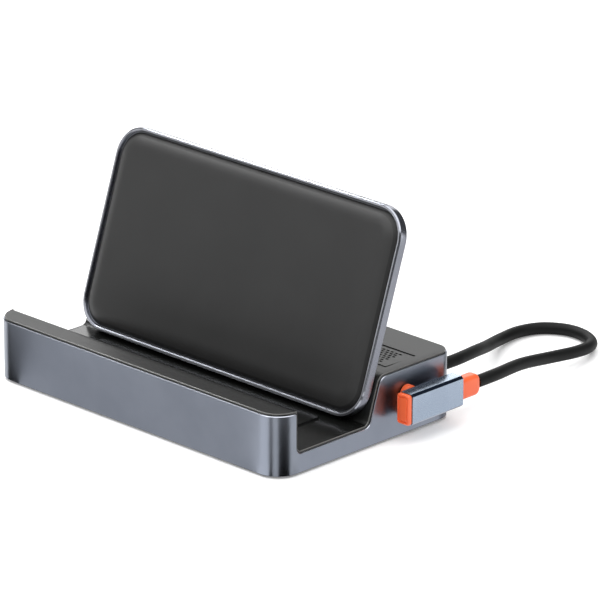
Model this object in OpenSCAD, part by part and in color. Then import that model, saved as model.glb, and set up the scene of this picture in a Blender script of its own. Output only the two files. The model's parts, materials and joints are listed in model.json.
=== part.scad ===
// Docking station: a weighted base with a cradle slot, a hub board inside, a padded back
// support that folds down, and a captive lead whose plug stows in the side wall.
// Origin: centre of the base's footprint on the surface it stands on. +X is to the right,
// +Y to the rear, +Z up. Millimetres.

/* [Base] */
// Width of the base, left to right
base_w = 138; // [126:1:180]
// Depth of the base, front to rear
base_d = 84; // [80:1:110]
// Height of the shell's front wall
front_h = 21.2; // [17:0.1:30]
// Height of the shell's rear block
rear_h = 23; // [22:0.1:30]
// Height of the shell's side wall below the slot
slot_h = 6.7; // [6.5:0.1:9]
// Thickness of the front wall, front to rear
front_wall = 8.6; // [7.6:0.1:12]
// Width of the cradle slot at its floor
slot_w = 33; // [26:0.5:37]
// Corner radius at the front
front_r = 8.5; // [6:0.5:12]
// Corner radius at the rear
rear_r = 6; // [5:0.5:10]
// Wall of the metal shell
shell_t = 1.2; // [1:0.1:1.6]
// Wall of the plastic top cover
cover_t = 1.6; // [1.2:0.1:2]
// How far the cover's edge stands proud of the shell's edge
lip_h = 0.8; // [0.4:0.1:1.2]
// Thickness of the bottom cover
bottom_t = 2; // [1.8:0.1:3]
// Thickness of the steel base plate
plate_t = 1.5; // [1:0.1:2]

/* [Feet and slot pad] */
// Height of the feet below the shell
foot_h = 0.8; // [0.5:0.1:2]
// Length of a foot
foot_l = 20; // [14:1:30]
// Width of a foot
foot_w = 6; // [5:0.5:7]
// Length of the pad on the slot's floor
slot_pad_l = 105; // [80:1:120]
// Width of the pad on the slot's floor
slot_pad_w = 25.5; // [15:0.5:26]
// Height of the pad on the slot's floor
slot_pad_h = 0.6; // [0.4:0.1:1]

/* [Back support] */
// Width of the back support
support_w = 136; // [120:1:150]
// Length of the back support, bottom edge to top edge
support_l = 72.4; // [60:0.1:90]
// Thickness of the back support's rim
support_t = 4.6; // [4.4:0.1:6]
// Corner radius of the back support
support_r = 11; // [8:0.5:14]
// Width of the rim round the pad
rim_w = 1.3; // [1.2:0.1:3]
// How far the pad is crowned above the rim
pad_crown = 1.2; // [0.4:0.1:2]
// Lean of the back support from vertical, in degrees
tilt = 18.8; // [15:0.1:25]

/* [Hinges] */
// Distance of each hinge from the centre line
hinge_x = 38; // [28:1:46]
// Depth of the hinge axis below the cover's slope and top
hinge_in = 3.5; // [3.3:0.1:4]
// Radius of the hinge pin
pin_r = 1.25; // [1:0.05:1.4]
// Radius of the hinge knuckles
knuckle_r = 2.8; // [2.5:0.1:2.9]
// Width of the moving knuckle
knuckle_w = 8; // [6:0.5:10]
// Width of each fixed ear
ear_w = 3; // [2:0.5:4]
// Thickness of a friction washer
washer_t = 0.4; // [0.3:0.05:0.6]

/* [Vent grille] */
// Length of the vent grille
grille_l = 129; // [100:1:134]
// Width of the vent grille, front to rear
grille_d = 14.5; // [10:0.5:16]
// How far the grille dips at its rear edge
grille_drop = 0.5; // [0.3:0.1:0.7]
// Length of one vent slot
vent_l = 1.2; // [1:0.1:1.4]
// Width of one vent slot
vent_w = 0.9; // [0.5:0.1:1]
// Distance between vent slots in a row
vent_pitch = 1.9; // [1.8:0.1:2.4]
// Distance between rows of vent slots
vent_row = 1.6; // [1.5:0.1:2]

/* [Lead and plug] */
// Diameter of the lead
lead_d = 4.3; // [3.8:0.1:4.6]
// Height of the plug's centre above the shell's bottom edge
plug_z = 12.1; // [10:0.1:13]
// Length of the plug's metal sleeve
sleeve_l = 24.7; // [18:0.1:30]
// Thickness of the plug's body, away from the wall
plug_w = 6; // [5.5:0.1:7]
// Height of the plug's body
plug_h = 11; // [10:0.1:12]
// Wall of the plug's metal sleeve
sleeve_t = 0.5; // [0.4:0.05:0.6]
// Length of the plug's end cap
cap_l = 1.8; // [1:0.1:3]
// How far the collar holds the plug's body off the side wall
collar_l = 2.7; // [2:0.1:4]

/* [Hidden] */
$fn = 48;

fit = 0.1;          // clearance round each piece that sits in another
rest_gap = 0.3;     // clearance between the back support and the cover
floor_gap = 0.4;    // clearance under the back support's lower edge
run_gap = 0.03;     // radial clearance of a turning knuckle on its pin
over = 1;           // how far a cutting shape reaches past what it cuts

// Heights of the base's layers
shell_z = foot_h;
bottom_z = shell_z + bottom_t;
plate_z = bottom_z + plate_t;
bracket_foot_t = 1.4;
head_h = 0.7;
board_z = plate_z + bracket_foot_t + head_h + 0.8;
board_t = 1.2;
board_top = board_z + board_t;
floor_z = shell_z + slot_h + lip_h;
rear_top = shell_z + rear_h + lip_h;

// Places across the base
front_in = -base_d / 2 + front_wall;
slope_foot = [front_in + lip_h + slot_w, floor_z];
cavity = shell_t + fit + cover_t;
rear_face = base_d / 2;
side_face = base_w / 2;

// The back support's own axes, as (y, z): up its face, and out of its back
up_dir = [sin(tilt), cos(tilt)];
back_dir = [cos(tilt), -sin(tilt)];
support_rise = (floor_gap - rest_gap * sin(tilt)) / cos(tilt);
support_o = slope_foot - rest_gap * back_dir + support_rise * up_dir;

// The hinge axis, as (y, z), equally deep below the slope and the top
axis_z = rear_top - hinge_in;
axis_y = slope_foot[0] + (hinge_in + (axis_z - floor_z) * sin(tilt)) / cos(tilt);
hinge_axis = [axis_y, axis_z];
hinge_v = (hinge_axis - support_o) * up_dir;
hinge_w = -(hinge_in + rest_gap);
notch_r = norm([knuckle_r, hinge_w]) + 0.3;
washer_gap = 0.05;
ear_x = knuckle_w / 2 + washer_t + 2 * washer_gap;
hinge_half = ear_x + ear_w;

// ---------- Outlines ----------

function unit(v) = v / norm(v);

// Points of an arc of radius r that rounds the corner b between a and c
function arc_corner(a, b, c, r, n) =
    r <= 0 ? [b] :
    let (
        u = unit(a - b),
        v = unit(c - b),
        half = acos(u * v) / 2,
        centre = b + unit(u + v) * r / sin(half),
        s = b + u * r / tan(half) - centre,
        e = b + v * r / tan(half) - centre,
        turn = 180 - 2 * half
    )
    [for (i = [0 : n]) centre + (sin(turn * (1 - i / n)) * s + sin(turn * i / n) * e) / sin(turn)];

// A polygon whose corners p have the radii r
function rounded(p, r, n = 8) =
    let (m = len(p))
    [for (i = [0 : m - 1]) each arc_corner(p[(i + m - 1) % m], p[i], p[(i + 1) % m], r[i], n)];

function box_points(w, h) = [[-w, -h] / 2, [w, -h] / 2, [w, h] / 2, [-w, h] / 2];

module rounded_box(w, h, r) polygon(rounded(box_points(w, h), [r, r, r, r]));

// The base's plan outline, moved in by inset
module footprint(inset) {
    fr = max(front_r - inset, 0.5);
    rr = max(rear_r - inset, 0.5);
    polygon(rounded(box_points(base_w - 2 * inset, base_d - 2 * inset), [fr, fr, rr, rr]));
}

// The base's side outline, with its upper edges moved out by g from the shell's edges
module side_outline(g) {
    top = shell_z + rear_h + g;
    flr = shell_z + slot_h + g;
    front = shell_z + front_h + g;
    slope_y = slope_foot[0] + (lip_h - g) / cos(tilt);
    reach = base_d / 2 + over;
    foot = [slope_y + (flr - floor_z) * tan(tilt), flr];
    head = [slope_y + (top - floor_z) * tan(tilt), top];
    points = [[-reach, shell_z - over], [reach, shell_z - over], [reach, top], head, foot,
        [front_in + g, flr], [front_in + g, front], [-reach, front]];
    polygon(rounded(points, [0, 0, 0, 3 + g, 3 - g, 2.5 - g, 0.8 + g, 0], 5));
}

module across(width) rotate([90, 0, 90]) linear_extrude(width, center = true) children();

module pill(l, w, h) linear_extrude(h) {
    square([l - w, w], center = true);
    for (s = [-1, 1]) translate([s * (l - w) / 2, 0]) circle(w / 2);
}

module on_support() translate([0, support_o[0], support_o[1]])
    rotate([90 - tilt, 0, 0]) children();

module on_axis(x) translate([x, axis_y, axis_z]) rotate([0, 90, 0]) children();

module screw(head_r, shank_r, length) {
    cylinder(r = head_r, h = head_h);
    translate([0, 0, -length]) cylinder(r = shank_r, h = length + 0.2);
}

// ---------- Rear ports ----------

port_front = rear_face - 0.3;
usb_size = [13.1, 17, 5.8];
hdmi_size = [15, 11, 5.6];
ethernet_size = [16, 21, 13.4];
power_size = [9, 8, 3.3];
ethernet_x = -45;
usb_x = [-28, -12, 4];
hdmi_x = 20;
power_x = 36;
ports = [[ethernet_x, ethernet_size], [usb_x[0], usb_size], [usb_x[1], usb_size],
    [usb_x[2], usb_size], [hdmi_x, hdmi_size], [power_x, power_size]];

// The openings that the ports look out of
module port_windows() for (p = ports)
    translate([p[0] - p[1][0] / 2 - fit, base_d / 2 - cavity - over, board_top - fit])
        cube([p[1][0] + 2 * fit, cavity + 2 * over, p[1][2] + 2 * fit]);

// A metal port can with its mouth to the rear; mouth is [width, height, depth]
module port_can(size, mouth) difference() {
    translate([-size[0] / 2, -size[1], 0]) cube(size);
    translate([-mouth[0] / 2, -mouth[2], (size[2] - mouth[1]) / 2])
        cube([mouth[0], mouth[2] + over, mouth[1]]);
}

// The contact blade inside a port
module port_blade(w, h, l, depth, z) translate([-w / 2, -depth - 0.01, z - h / 2]) cube([w, l, h]);

module at_port(x) translate([x, port_front, board_top]) children();

// ---------- Base ----------

boss_r = 2.3;
screw_x = base_w / 2 - 7;
screw_ys = [front_in - front_wall / 2 - (lip_h - shell_t - fit) / 2, base_d / 2 - cavity - 5];
foot_sink = 0.6;

module at_case_screws() for (sx = [-1, 1], y = screw_ys) translate([sx * screw_x, y, 0]) children();

gland_x = 55.5;
gland_z = shell_z + 12;
gland_r = 3.4;
gland_flange_r = 4.4;
plug_c = shell_z + plug_z;
stow_y = 18;
tongue_size = [8.25, 2.45];
stow_size = [10.4, 4.6];
stow_depth = 9;

module shell() color("#858a97") difference() {
    intersection() {
        translate([0, 0, shell_z]) linear_extrude(rear_h) difference() {
            footprint(0);
            footprint(shell_t);
        }
        across(base_w + 2 * over) side_outline(0);
    }
    port_windows();
    gland_hole(gland_r);
    stow_hole();
}

module gland_hole(r) translate([gland_x, rear_face + over, gland_z]) rotate([90, 0, 0])
    cylinder(r = r + fit, h = cavity + 2 * over);

module stow_hole() translate([side_face - cavity - over, stow_y, plug_c]) rotate([90, 0, 90])
    linear_extrude(cavity + 2 * over) stow_outline(fit);

module stow_outline(gap) rounded_box(stow_size[1] + 2 * gap, stow_size[0] + 2 * gap, 1.5);

module top_cover() color("#3a3b3a") difference() {
    union() {
        difference() {
            cover_body(shell_t + fit, lip_h, bottom_z + fit);
            cover_body(cavity, lip_h - cover_t, bottom_z - over);
        }
        intersection() {
            at_case_screws() translate([0, 0, bottom_z + fit])
                cylinder(r = boss_r, h = rear_top - bottom_z);
            cover_body(cavity - 0.2, lip_h - cover_t / 2, bottom_z);
        }
        intersection() {
            grille_place() translate([0, 0, -2.2]) linear_extrude(3) grille_outline(1.2);
            cover_body(cavity, lip_h - 0.1, bottom_z);
        }
    }
    at_case_screws() cylinder(r = 1.05, h = front_h - 6);
    grille_place() {
        translate([0, 0, -grille_t - fit]) linear_extrude(5) grille_outline(fit);
        translate([0, 0, -5]) linear_extrude(10) grille_outline(-1.2);
    }
    slot_pad_place() translate([0, 0, -0.3]) slot_pad_outline(fit, 2);
    for (s = [-1, 1]) on_axis(s * hinge_x)
        cylinder(r = notch_r, h = 2 * (hinge_half + 0.3), center = true);
    port_windows();
    gland_hole(gland_r);
    stow_hole();
}

module cover_body(inset, g, z) intersection() {
    translate([0, 0, z]) linear_extrude(rear_top - z + over) footprint(inset);
    across(base_w) side_outline(g);
}

module bottom_cover() color("#2b2c2c") difference() {
    union() {
        translate([0, 0, shell_z]) linear_extrude(bottom_t) footprint(shell_t + fit);
        at_board_screws() translate([0, 0, shell_z]) cylinder(r = 2.2, h = board_z - shell_z);
    }
    at_feet() translate([0, 0, shell_z - over]) pill(foot_l + 2 * fit, foot_w + 2 * fit, over + foot_sink);
    at_case_screws() {
        cylinder(r = 1.15, h = bottom_z + over);
        cylinder(r = 2, h = shell_z + foot_sink + head_h);
    }
    at_board_screws() translate([0, 0, shell_z + 1]) cylinder(r = 0.85, h = board_z);
}

module at_feet() for (sx = [-1, 1], y = screw_ys) translate([sx * (screw_x - 9), y, 0]) children();

module feet() color("#232424") at_feet() pill(foot_l, foot_w, foot_h + foot_sink);

module case_screws() color("#8b8d90") at_case_screws()
    translate([0, 0, shell_z + foot_sink + head_h]) mirror([0, 0, 1]) screw(1.9, 1, 8);

plate_x = base_w / 2 - 9;
plate_ys = [front_in + 2, base_d / 2 - 11];

module base_plate() color("#9a9ca0") difference() {
    translate([-plate_x, plate_ys[0], bottom_z])
        cube([2 * plate_x, plate_ys[1] - plate_ys[0], plate_t]);
    at_board_screws() cylinder(r = 2.2 + 0.3, h = plate_z + over);
    at_bracket_screws() cylinder(r = bracket_screw_r + 0.01, h = plate_z + over);
}

module slot_pad_place() translate([0, front_in + lip_h + 2 + slot_pad_w / 2, floor_z]) children();

module slot_pad_outline(gap, h) linear_extrude(h)
    rounded_box(slot_pad_l + 2 * gap, slot_pad_w + 2 * gap, 2);

module slot_pad() color("#2a2b2b") slot_pad_place()
    translate([0, 0, -0.3]) slot_pad_outline(0, slot_pad_h + 0.3);

// ---------- Vent grille, in a shallow ramp behind the hinges ----------

grille_t = 1;
grille_rear = base_d / 2 - 14.3;
ramp = atan(grille_drop / grille_d);
rows = floor((grille_d - 3) / vent_row);
slots = floor((grille_l - 6) / vent_pitch);

module grille_place() translate([0, grille_rear - grille_d, rear_top])
    rotate([-ramp, 0, 0]) children();

module grille_outline(gap) translate([-grille_l / 2 - gap, -gap])
    square([grille_l + 2 * gap, grille_d + 2 * gap]);

module vent_grille() color("#343534") grille_place() translate([0, 0, -grille_t])
    linear_extrude(grille_t) difference() {
        grille_outline(0);
        for (j = [0 : rows - 1], i = [0 : slots - 1 - j % 2])
            translate([(i - (slots - 1 - j % 2) / 2) * vent_pitch,
                grille_d / 2 + (j - (rows - 1) / 2) * vent_row])
                square([vent_l, vent_w], center = true);
    }

// ---------- Board ----------

board_x = [-57, 46];
board_y = [axis_y + 4, base_d / 2 - cavity - 0.5];
board_screw_ys = [board_y[0] + 3, board_y[0] + 6];
board_screw_points = [[board_x[0] + 3.5, board_screw_ys[0]], [-19, board_screw_ys[1] - 3],
    [12, board_screw_ys[1] - 3], [board_x[1] - 3.5, board_screw_ys[0]]];
chip_y = board_y[0] + 6;
chip_h = 1;
pad_h = 0.5;

module at_board_screws() for (p = board_screw_points) translate([p[0], p[1], 0]) children();

module main_board() color("#1f4f3a") difference() {
    translate([board_x[0], board_y[0], board_z])
        cube([board_x[1] - board_x[0], board_y[1] - board_y[0], board_t]);
    at_board_screws() cylinder(r = 1.1, h = board_top + over);
}

module board_screws() color("#8b8d90") at_board_screws() translate([0, 0, board_top])
    screw(1.7, 0.8, board_top - shell_z - 1.5);

module ethernet_port() color("#b9bcc0") at_port(ethernet_x) {
    port_can(ethernet_size, [11.8, 8.4, 13]);
}

module usb_port(x) color("#b9bcc0") at_port(x) {
    port_can(usb_size, [12.4, 5.1, 11]);
    port_blade(11, 1.6, 9, 11, usb_size[2] / 2 + 1);
}

module usb_port_left() usb_port(usb_x[0]);
module usb_port_middle() usb_port(usb_x[1]);
module usb_port_right() usb_port(usb_x[2]);

module hdmi_port() color("#b9bcc0") at_port(hdmi_x) {
    port_can(hdmi_size, [14.1, 4.6, 9]);
    port_blade(11, 1.2, 7, 9, hdmi_size[2] / 2);
}

module power_port() color("#b9bcc0") at_port(power_x) {
    port_can(power_size, [8.4, 2.6, 6.5]);
    port_blade(6.6, 0.7, 5.5, 6.5, power_size[2] / 2);
}

module chip(x, w) color("#26282a") translate([x - w / 2, chip_y - w / 2, board_top])
    cube([w, w, chip_h]);

hub_x = 26;
video_x = -4;
network_x = -30;

module hub_chip() chip(hub_x, 9);
module video_chip() chip(video_x, 8);
module network_chip() chip(network_x, 7);

module thermal_pads() color("#b7a9b4") for (x = [video_x, hub_x])
    translate([x - 3.5, chip_y - 3.5, board_top + chip_h]) cube([7, 7, pad_h]);

module heat_spreader() color("#a9acb1")
    translate([video_x - 8, board_y[0] + 1, board_top + chip_h + pad_h])
        cube([hub_x - video_x + 16, 9.5, 1.2]);

header_x = 42;
header_y = board_y[1] - 9;

module wire_header() color("#d8d5c8") translate([header_x - 3, header_y - 3, board_top])
    cube([6, 6, 3]);

// ---------- Swept tubes ----------

function catmull(a, b, c, d, t) = 0.5 * (2 * b + (c - a) * t
    + (2 * a - 5 * b + 4 * c - d) * t * t + (3 * b - a - 3 * c + d) * t * t * t);

// A smooth line through the points p, with n steps between each two
function smooth_line(p, n) =
    let (m = len(p), q = concat([2 * p[0] - p[1]], p, [2 * p[m - 1] - p[m - 2]]))
    concat([for (i = [0 : m - 2], k = [0 : n - 1]) catmull(q[i], q[i + 1], q[i + 2], q[i + 3], k / n)],
        [p[m - 1]]);

function tangent(p, i, ends) =
    i == 0 ? ends[0] : i == len(p) - 1 ? ends[1] : unit(p[i + 1] - p[i - 1]);

function ring(c, t, r, n) =
    let (s = unit(cross(t, [0, 0, 1])), u = cross(s, t))
    [for (k = [0 : n - 1]) c + r * (cos(360 * k / n) * s + sin(360 * k / n) * u)];

// A tube along the points p, whose two end faces look along ends
module tube(p, r, n, ends) {
    m = len(p);
    points = [for (i = [0 : m - 1]) each ring(p[i], tangent(p, i, ends), r, n)];
    sides = [for (i = [0 : m - 2], k = [0 : n - 1])
        [i * n + k, i * n + (k + 1) % n, (i + 1) * n + (k + 1) % n, (i + 1) * n + k]];
    caps = [[for (k = [n - 1 : -1 : 0]) k], [for (k = [0 : n - 1]) (m - 1) * n + k]];
    polyhedron(points, concat(sides, caps));
}

module lead_wires() color("#6b6d70") tube(smooth_line([
    [gland_x, rear_face - cavity - 2.2, gland_z], [gland_x, rear_face - cavity - 5, gland_z],
    [gland_x - 5, header_y + 0.5, gland_z - 2], [header_x + 6, header_y, board_top + 1.5],
    [header_x + 3, header_y, board_top + 1.5]], 3), 1.2, 8, [[0, -1, 0], [-1, 0, 0]]);

// ---------- Stow socket, gland and lead ----------

module stow_socket() color("#b9bcc0") translate([side_face - 0.2 - stow_depth, stow_y, plug_c])
    rotate([90, 0, 90]) difference() {
        union() {
            linear_extrude(stow_depth) stow_outline(0);
            translate([0, 0, stow_depth + 0.2 - cavity - 1.5 - fit]) linear_extrude(1.5) stow_outline(1.2);
        }
        translate([0, 0, 1]) stadium(tongue_size[1] + 0.25, tongue_size[0] + 0.25, stow_depth);
    }

// An upright stadium, w wide and h high, extruded by l
module stadium(w, h, l) linear_extrude(l) {
    square([w, h - w], center = true);
    for (s = [-1, 1]) translate([0, s * (h - w) / 2]) circle(w / 2);
}

gland_l = 6;

module cable_gland() color("#2b2c2c") translate([gland_x, rear_face, gland_z]) rotate([-90, 0, 0])
    rotate_extrude() polygon([[0, -cavity - 2.2], [gland_flange_r, -cavity - 2.2],
        [gland_flange_r, -cavity - fit], [gland_r, -cavity - fit], [gland_r, 1.2],
        [lead_d / 2 + 0.5, gland_l], [0, gland_l]]);

// The lead's route, from the gland to the plug. It sags to the surface at its far bend.
route = [[55.5, 48, 12.8], [55.5, 51, 12.8], [55, 59, 12.5], [50.5, 72, 10.4], [43.3, 86, 6.6],
    [36.4, 100, 3.4], [34, 112.5, 2.4], [37, 121.5, 2.2], [44.5, 126.5, 2.2], [52.5, 126.5, 2.2],
    [59.5, 122.5, 2.6], [64, 115.5, 3.7], [65.6, 106.5, 4.8], [66.4, 92.5, 6.8],
    [70, 74.5, 10.4], [74.4, 57.5, 12.6], [75, 50, 12.9], [75, 46.6, 12.9]];

module cable() color("#2b2c2c") tube(smooth_line(route, 3), lead_d / 2, 10,
    [[0, 1, 0], [0, -1, 0]]);

// ---------- Plug ----------

sleeve_y = stow_y - 5.7;
plug_x = side_face + 0.3 + collar_l;
plug_mid = plug_x + plug_w / 2;
collar_size = [6.4, 12.6];
neck_size = [4, 8];
relief_l = 9.6;

// Along +Y from y, with the section's width in X and its height in Z
module along_plug(y, l, w, h, r) translate([plug_mid, y, plug_c]) rotate([-90, 0, 0])
    linear_extrude(l) rounded_box(w, h, r);

module plug_sleeve() color("#a9b5c6") difference() {
    along_plug(sleeve_y, sleeve_l, plug_w, plug_h, 1);
    along_plug(sleeve_y - over, sleeve_l + 2 * over, plug_w - 2 * sleeve_t, plug_h - 2 * sleeve_t, 0.6);
    translate([plug_x - over, stow_y, plug_c]) rotate([90, 0, 90])
        stadium(neck_size[0] + 2 * fit, neck_size[1] + 2 * fit, over + 2 * sleeve_t);
}

module plug_core() color("#f0683a") difference() {
    union() {
        along_plug(sleeve_y - cap_l, cap_l - fit, plug_w - 0.3, plug_h - 0.3, 1);
        along_plug(sleeve_y - cap_l / 2, sleeve_l + cap_l / 2, plug_w - 2 * (sleeve_t + fit),
            plug_h - 2 * (sleeve_t + fit), 0.5);
        translate([side_face + 0.3, stow_y, plug_c]) rotate([90, 0, 90])
            stadium(collar_size[0], collar_size[1], collar_l - fit);
        translate([side_face + 1.3, stow_y, plug_c]) rotate([90, 0, 90])
            stadium(neck_size[0], neck_size[1], collar_l + 1);
    }
    translate([side_face, stow_y, plug_c]) rotate([90, 0, 90])
        stadium(tongue_size[1] + 0.02, tongue_size[0] + 0.02, 2.3);
}

module plug_tongue() color("#c9ccd0") translate([side_face - 7, stow_y, plug_c])
    rotate([90, 0, 90]) difference() {
        stadium(tongue_size[1], tongue_size[0], 9.3);
        translate([0, 0, -over]) stadium(tongue_size[1] - 0.7, tongue_size[0] - 0.7, 6);
    }

module plug_relief() color("#f0683a") translate([plug_mid, sleeve_y + sleeve_l, plug_c])
    rotate([90, 0, 90]) linear_extrude(plug_w - 1, center = true)
        polygon(rounded([[0, -3.8], [relief_l, -3.8], [relief_l, 3.8], [0, 3.8]], [0, 2.4, 2.4, 0]));

// ---------- Hinges ----------

web_t = 2.4;
bracket_screw_r = 1.25;

module at_bracket_screws() for (s = [-1, 1], x = [-4.5, 4.5])
    translate([s * hinge_x + x, axis_y - 5.5, 0]) children();

module hinge_brackets() color("#8b8d90") for (s = [-1, 1]) difference() {
    translate([s * hinge_x, 0, 0]) {
        for (e = [-1, 1]) {
            translate([e * (ear_x + ear_w / 2), axis_y, axis_z]) rotate([0, 90, 0])
                cylinder(r = knuckle_r, h = ear_w, center = true);
            translate([e * (ear_x + ear_w / 2) - ear_w / 2, axis_y - web_t / 2, plate_z])
                cube([ear_w, web_t, axis_z - plate_z]);
        }
        translate([-hinge_half, axis_y - web_t / 2, plate_z])
            cube([2 * hinge_half, web_t, axis_z - plate_z - notch_r - 1.5]);
        translate([-hinge_half, axis_y - 8.5, plate_z])
            cube([2 * hinge_half, 8.5 + web_t / 2, bracket_foot_t]);
    }
    on_axis(s * hinge_x) cylinder(r = pin_r + 0.01, h = 4 * hinge_half, center = true);
    at_bracket_screws() cylinder(r = bracket_screw_r + 0.1, h = rear_top);
}

module bracket_screws() color("#5f6165") at_bracket_screws()
    translate([0, 0, plate_z + bracket_foot_t]) screw(2.2, bracket_screw_r, bracket_foot_t + plate_t);

module hinge_pins() color("#c9ccd0") for (s = [-1, 1]) on_axis(s * hinge_x)
    cylinder(r = pin_r, h = 2 * hinge_half, center = true);

module hinge_washers() color("#b08d4a") for (s = [-1, 1], e = [-1, 1])
    on_axis(s * hinge_x + e * (knuckle_w / 2 + washer_gap + washer_t / 2)) difference() {
        cylinder(r = knuckle_r - 0.2, h = washer_t, center = true);
        cylinder(r = pin_r + 0.01, h = washer_t + over, center = true);
    }

leaf_half = 8;
leaf_screw_v = 5.6;
skin = 0.2;         // how far the back cover lies inside the rim's rear edge

module at_leaf_screws() for (s = [-1, 1], x = [-3.6, 3.6], v = [-1, 1])
    translate([s * hinge_x + x, hinge_v + v * leaf_screw_v, 0]) children();

module hinge_leaves() color("#8b8d90") on_support() for (s = [-1, 1]) difference() {
    translate([s * hinge_x, hinge_v, 0]) {
        translate([-knuckle_w / 2 - 2, -leaf_half, skin]) cube([knuckle_w + 4, 2 * leaf_half, back_t]);
        translate([-knuckle_w / 2, -knuckle_r, hinge_w])
        cube([knuckle_w, 2 * knuckle_r, skin - hinge_w + 0.2]);
        translate([0, 0, hinge_w]) rotate([0, 90, 0]) cylinder(r = knuckle_r, h = knuckle_w, center = true);
    }
    translate([s * hinge_x, hinge_v, hinge_w]) rotate([0, 90, 0])
        cylinder(r = pin_r + run_gap, h = 2 * knuckle_w, center = true);
    at_leaf_screws() {
        cylinder(r = 0.95, h = support_t);
        translate([0, 0, -over]) cylinder(r = 1.6, h = over + skin + head_h);
    }
}

module leaf_screws() color("#5f6165") on_support() at_leaf_screws()
    translate([0, 0, skin + head_h]) mirror([0, 0, 1]) screw(1.5, 0.85, back_t + flange_t - head_h);

// ---------- Back support ----------

back_t = 1.4;
flange_t = 1.2;
stiffener_t = 0.6;
flange_z = skin + back_t;
stiffener_z = flange_z + flange_t;
pad_z = stiffener_z + stiffener_t;
window_v = hinge_v + leaf_half + 3;
rear_bevel = 1.2;    // clears the rounded foot of the cover's slope
front_bevel = 0.5;

module support_outline(inset) translate([0, support_l / 2])
    rounded_box(support_w - 2 * inset, support_l - 2 * inset, support_r - inset);

module support_frame() color("#8f95a3") on_support() difference() {
    hull() {
        linear_extrude(rear_bevel) support_outline(rear_bevel);
        translate([0, 0, rear_bevel]) linear_extrude(support_t - rear_bevel - front_bevel)
            support_outline(0);
        translate([0, 0, support_t - front_bevel]) linear_extrude(front_bevel)
            support_outline(front_bevel);
    }
    translate([0, 0, -over]) linear_extrude(flange_z + over) support_outline(rim_w);
    translate([0, 0, stiffener_z]) linear_extrude(support_t) support_outline(rim_w);
    translate([0, (window_v + support_l - rim_w - 4) / 2]) linear_extrude(support_t)
        rounded_box(support_w - 2 * rim_w - 8, support_l - rim_w - 4 - window_v, 4);
    at_leaf_screws() cylinder(r = 0.86, h = support_t);
    at_support_screws() cylinder(r = 0.86, h = support_t);
}

module at_support_screws() for (sx = [-1, 0, 1])
    translate([sx * (support_w / 2 - 16), support_l - rim_w - 2.2, 0]) children();

module support_back() color("#3a3b3a") on_support() difference() {
    translate([0, 0, skin]) linear_extrude(back_t) support_outline(rim_w + fit);
    for (s = [-1, 1]) translate([s * hinge_x - knuckle_w / 2 - 2 - fit, hinge_v - leaf_half - fit, -over])
        cube([knuckle_w + 4 + 2 * fit, 2 * leaf_half + 2 * fit, support_t]);
    at_support_screws() {
        cylinder(r = 0.95, h = support_t);
        translate([0, 0, -over]) cylinder(r = 1.6, h = over + skin + head_h);
    }
}

module support_screws() color("#5f6165") on_support() at_support_screws()
    translate([0, 0, skin + head_h]) mirror([0, 0, 1]) screw(1.5, 0.85, back_t + flange_t - head_h);

module support_plate() color("#9a9ca0") on_support() translate([0, 0, stiffener_z])
    linear_extrude(stiffener_t) support_outline(rim_w + fit);

module support_pad() color("#454545") on_support() hull() {
    translate([0, 0, pad_z]) linear_extrude(support_t - pad_z - 0.2) support_outline(rim_w + fit);
    translate([0, 0, pad_z]) linear_extrude(support_t - pad_z + pad_crown * 0.7) support_outline(rim_w + 2);
    translate([0, 0, pad_z]) linear_extrude(support_t - pad_z + pad_crown) support_outline(rim_w + 6);
}

shell();
top_cover();
bottom_cover();
base_plate();
feet();
case_screws();
slot_pad();
vent_grille();
main_board();
board_screws();
ethernet_port();
hdmi_port();
usb_port_left();
usb_port_middle();
usb_port_right();
power_port();
hub_chip();
video_chip();
network_chip();
thermal_pads();
heat_spreader();
stow_socket();
cable_gland();
lead_wires();
wire_header();
hinge_brackets();
bracket_screws();
hinge_pins();
hinge_washers();
hinge_leaves();
leaf_screws();
support_frame();
support_back();
support_plate();
support_pad();
support_screws();
cable();
plug_sleeve();
plug_core();
plug_relief();
plug_tongue();
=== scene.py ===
# Looks of a docking station: a metal-banded base with a cradle slot, a padded back support
# that folds, rear ports and a captive lead. Metres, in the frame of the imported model.
import json
import math

import bmesh
import bpy
import numpy as np
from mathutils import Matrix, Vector


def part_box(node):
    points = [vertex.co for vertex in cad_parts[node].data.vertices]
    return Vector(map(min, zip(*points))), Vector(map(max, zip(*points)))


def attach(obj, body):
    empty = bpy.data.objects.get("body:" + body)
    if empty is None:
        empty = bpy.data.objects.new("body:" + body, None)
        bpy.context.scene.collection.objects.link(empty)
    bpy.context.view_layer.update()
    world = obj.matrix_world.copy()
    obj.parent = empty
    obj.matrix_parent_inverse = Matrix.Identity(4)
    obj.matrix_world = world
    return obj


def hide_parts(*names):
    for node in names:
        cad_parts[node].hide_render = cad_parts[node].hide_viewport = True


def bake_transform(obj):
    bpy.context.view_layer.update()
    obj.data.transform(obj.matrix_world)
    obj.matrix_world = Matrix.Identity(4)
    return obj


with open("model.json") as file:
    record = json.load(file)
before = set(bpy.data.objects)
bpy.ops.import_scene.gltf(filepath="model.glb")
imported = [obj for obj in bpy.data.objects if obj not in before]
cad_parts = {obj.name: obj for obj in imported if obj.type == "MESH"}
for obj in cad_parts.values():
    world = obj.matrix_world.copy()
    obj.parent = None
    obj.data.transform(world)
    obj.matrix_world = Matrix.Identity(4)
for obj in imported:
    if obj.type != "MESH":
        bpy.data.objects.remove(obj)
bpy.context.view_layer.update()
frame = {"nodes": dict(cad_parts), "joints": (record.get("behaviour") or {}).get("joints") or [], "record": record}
nodes = frame["nodes"]
mm = 0.001
sharpAngle = 35    # degrees: faces that meet at more than this keep a crisp edge


def boxOf(name):
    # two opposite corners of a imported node's box, in millimetres
    return [np.array(corner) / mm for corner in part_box(name)]


# outlines and grids

def unit(v):
    # each vector over its own length
    return v / np.linalg.norm(v, axis=-1, keepdims=True)


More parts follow.
